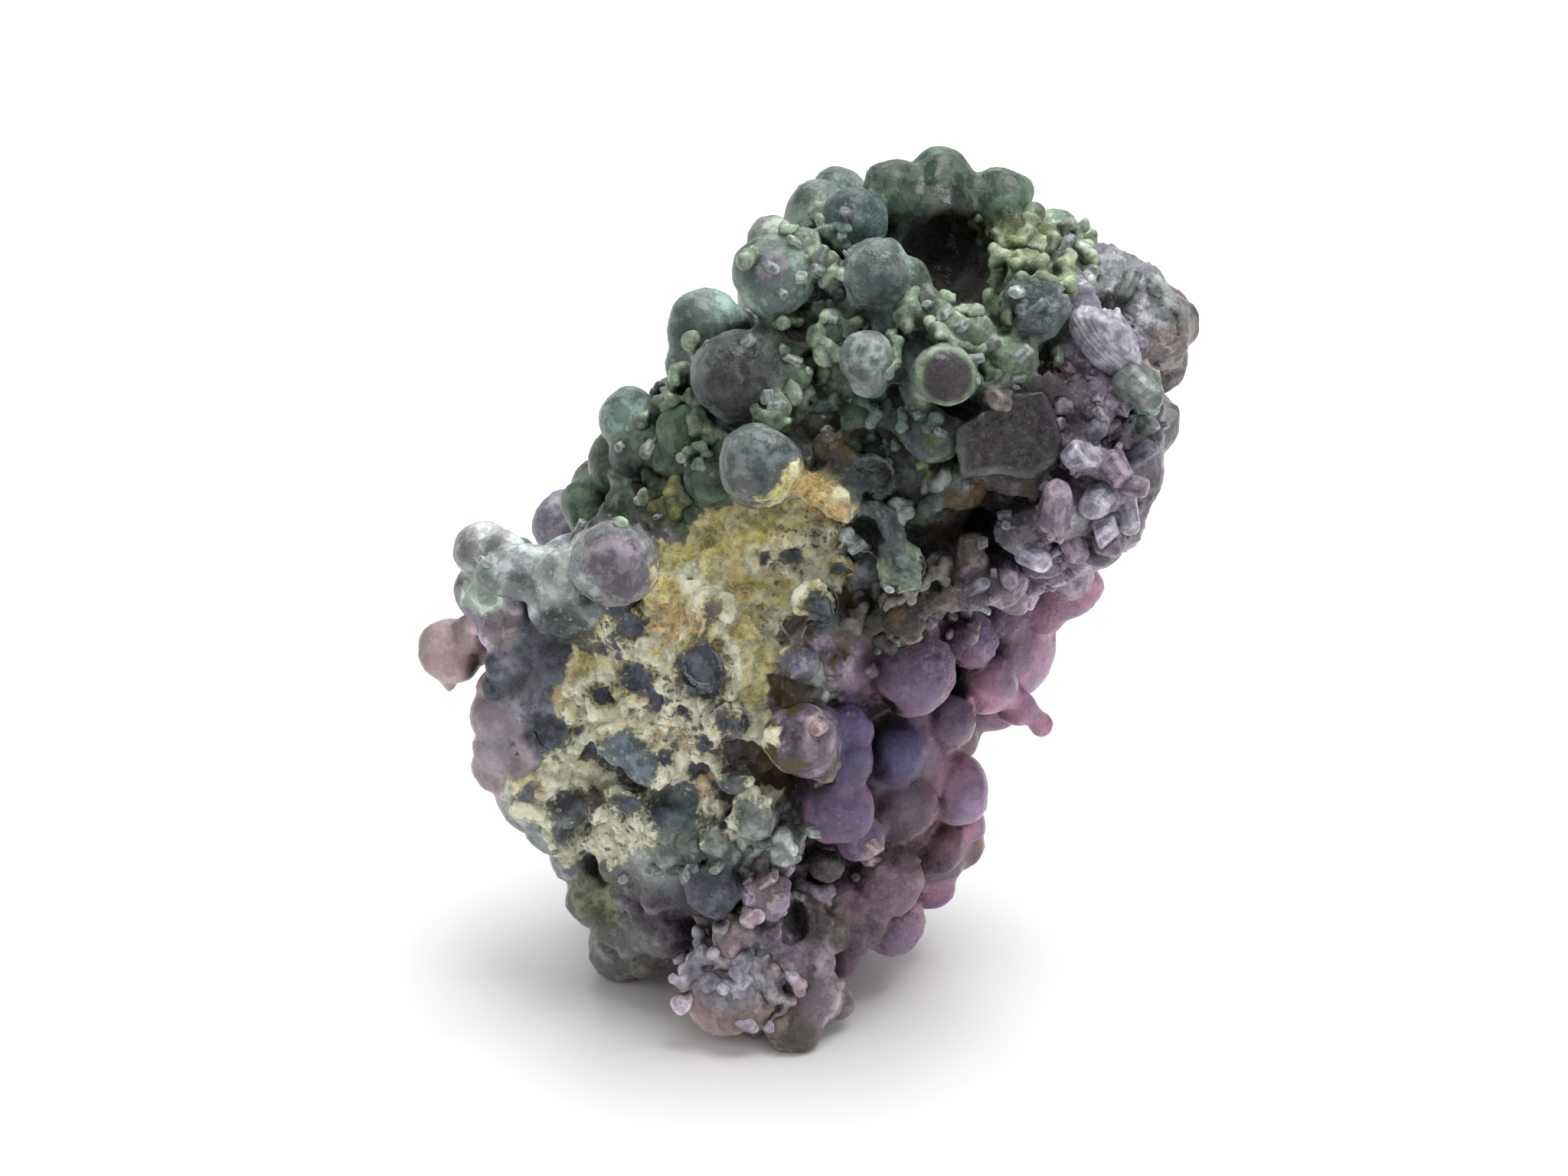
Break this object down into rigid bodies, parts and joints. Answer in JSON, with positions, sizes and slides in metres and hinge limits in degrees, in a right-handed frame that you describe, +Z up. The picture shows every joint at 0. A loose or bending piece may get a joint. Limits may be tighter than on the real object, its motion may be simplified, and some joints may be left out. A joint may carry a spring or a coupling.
{
  "type": "botryoidal chalcedony specimen",
  "caption": "Free-standing mineral specimen of botryoidal (grape) chalcedony, green above and violet below, with a cream clay face and an open vug.",
  "frame": {"origin": "on the surface that the stone stands on, under the middle of its box", "axes": "+Z up, the clay face and the picture's camera on the -Y side, +X to the right as the camera sees it"},
  "size_m": [0.0514, 0.0339, 0.0573],
  "materials": {
    "chalcedony": "waxy, slightly frosted"
  },
  "bodies": {
    "root": {"grape_chalcedony": "chalcedony"}
  },
  "joints": []
}
